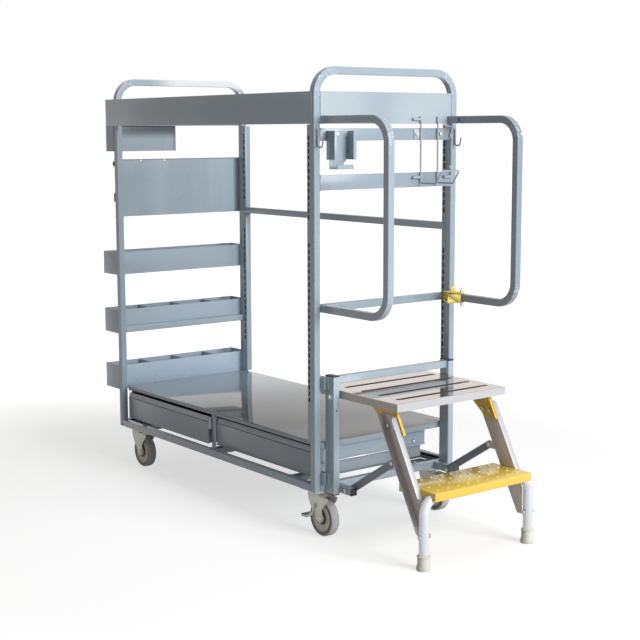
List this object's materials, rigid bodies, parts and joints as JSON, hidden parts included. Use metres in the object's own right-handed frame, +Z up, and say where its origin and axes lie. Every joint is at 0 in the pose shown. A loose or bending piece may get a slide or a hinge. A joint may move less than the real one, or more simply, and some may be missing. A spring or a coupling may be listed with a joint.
{
  "type": "ladder cart",
  "caption": "Tubular picking cart with a deck over shallow drawers, end bins, swivel casters and a short ladder with handrails fixed to one end.",
  "frame": {"origin": "middle of the whole cart's footprint, on the floor", "axes": "+X along the cart towards the ladder, +Y from the drawer fronts to the far side, +Z up"},
  "size_m": [1.877, 0.622, 1.546],
  "materials": {
    "blue_grey_paint": "satin powder coat",
    "yellow_paint": "satin paint",
    "bare_aluminium": "brushed",
    "zinc_plate": "zinc plated",
    "black_plastic": "matt",
    "beige_rubber": "matt",
    "hub_plastic": "moulded",
    "grey_tread": "moulded"
  },
  "bodies": {
    "cart": {"left_hoop": "blue_grey_paint", "right_hoop": "blue_grey_paint", "base_frame": "blue_grey_paint", "knee_bar": "blue_grey_paint", "cross_tubes": "blue_grey_paint", "slotted_standards": "blue_grey_paint", "drawer_cabinet": "blue_grey_paint", "centre_stile": "blue_grey_paint", "deck_panel": "blue_grey_paint", "front_fascia": "blue_grey_paint", "end_panels": "blue_grey_paint", "end_straps": "blue_grey_paint", "bin_upper": "blue_grey_paint", "bin_middle": "blue_grey_paint", "bin_lower": "blue_grey_paint", "bin_dividers": "blue_grey_paint", "document_box": "blue_grey_paint", "back_board": "blue_grey_paint", "scanner_holder": "blue_grey_paint", "wire_rack": "blue_grey_paint", "j_hooks": "blue_grey_paint", "front_handrail": "blue_grey_paint", "rail_stub": "blue_grey_paint", "ladder_posts": "blue_grey_paint", "ladder_cross_bar": "blue_grey_paint", "ladder_arms": "blue_grey_paint", "post_spacers": "blue_grey_paint", "ladder_braces": "blue_grey_paint", "rail_clevis": "yellow_paint", "leg_gussets": "yellow_paint", "step": "yellow_paint", "platform": "bare_aluminium", "ladder_legs": "bare_aluminium", "foot_tube": "bare_aluminium", "bolts": "zinc_plate", "rail_pins": "zinc_plate", "caster_plates": "zinc_plate", "slides_outer": "zinc_plate", "end_caps": "black_plastic", "board_clips": "black_plastic", "foot_boots": "beige_rubber"},
    "drawer_left": {"drawer_left": "blue_grey_paint", "slides_inner_left": "zinc_plate"},
    "drawer_right": {"drawer_right": "blue_grey_paint", "slides_inner_right": "zinc_plate"},
    "rear_rail": {"rear_handrail": "blue_grey_paint"},
    "caster_front_left": {"fork_front_left": "zinc_plate"},
    "wheel_front_left": {"hub_front_left": "hub_plastic", "tyre_front_left": "grey_tread"},
    "caster_front_right": {"fork_front_right": "zinc_plate"},
    "wheel_front_right": {"hub_front_right": "hub_plastic", "tyre_front_right": "grey_tread"},
    "brake_front_right": {"pedal_front_right": "zinc_plate"},
    "caster_rear_left": {"fork_rear_left": "zinc_plate"},
    "wheel_rear_left": {"hub_rear_left": "hub_plastic", "tyre_rear_left": "grey_tread"},
    "caster_rear_right": {"fork_rear_right": "zinc_plate"},
    "wheel_rear_right": {"hub_rear_right": "hub_plastic", "tyre_rear_right": "grey_tread"},
    "brake_rear_right": {"pedal_rear_right": "zinc_plate"}
  },
  "joints": [
    {"name": "drawer_left_slide", "type": "slide", "parent": "cart", "child": "drawer_left", "axis": [0, -1, 0], "range_m": [-0.015, 0.33]},
    {"name": "drawer_right_slide", "type": "slide", "parent": "cart", "child": "drawer_right", "axis": [0, -1, 0], "range_m": [0, 0.345]},
    {"name": "rear_rail_swing", "type": "hinge", "parent": "cart", "child": "rear_rail", "pos_m": [0.5325, 0.2785, 1], "axis": [0, 0, 1], "range_deg": [0, 90]},
    {"name": "swivel_front_left", "type": "hinge", "parent": "cart", "child": "caster_front_left", "pos_m": [-0.7735, -0.249, 0.14], "axis": [0, 0, 1], "continuous": true},
    {"name": "spin_front_left", "type": "hinge", "parent": "caster_front_left", "child": "wheel_front_left", "pos_m": [-0.7385, -0.249, 0.0625], "axis": [0, 1, 0], "continuous": true},
    {"name": "swivel_front_right", "type": "hinge", "parent": "cart", "child": "caster_front_right", "pos_m": [0.4065, -0.249, 0.14], "axis": [0, 0, 1], "continuous": true},
    {"name": "spin_front_right", "type": "hinge", "parent": "caster_front_right", "child": "wheel_front_right", "pos_m": [0.4415, -0.249, 0.0625], "axis": [0, 1, 0], "continuous": true},
    {"name": "brake_front_right", "type": "hinge", "parent": "caster_front_right", "child": "brake_front_right", "pos_m": [0.4145, -0.249, 0.1], "axis": [0, -1, 0], "range_deg": [0, 5]},
    {"name": "swivel_rear_left", "type": "hinge", "parent": "cart", "child": "caster_rear_left", "pos_m": [-0.7735, 0.251, 0.14], "axis": [0, 0, 1], "continuous": true},
    {"name": "spin_rear_left", "type": "hinge", "parent": "caster_rear_left", "child": "wheel_rear_left", "pos_m": [-0.7385, 0.251, 0.0625], "axis": [0, 1, 0], "continuous": true},
    {"name": "swivel_rear_right", "type": "hinge", "parent": "cart", "child": "caster_rear_right", "pos_m": [0.4065, 0.251, 0.14], "axis": [0, 0, 1], "continuous": true},
    {"name": "spin_rear_right", "type": "hinge", "parent": "caster_rear_right", "child": "wheel_rear_right", "pos_m": [0.4415, 0.251, 0.0625], "axis": [0, 1, 0], "continuous": true},
    {"name": "brake_rear_right", "type": "hinge", "parent": "caster_rear_right", "child": "brake_rear_right", "pos_m": [0.4145, 0.251, 0.1], "axis": [0, -1, 0], "range_deg": [0, 5]}
  ]
}
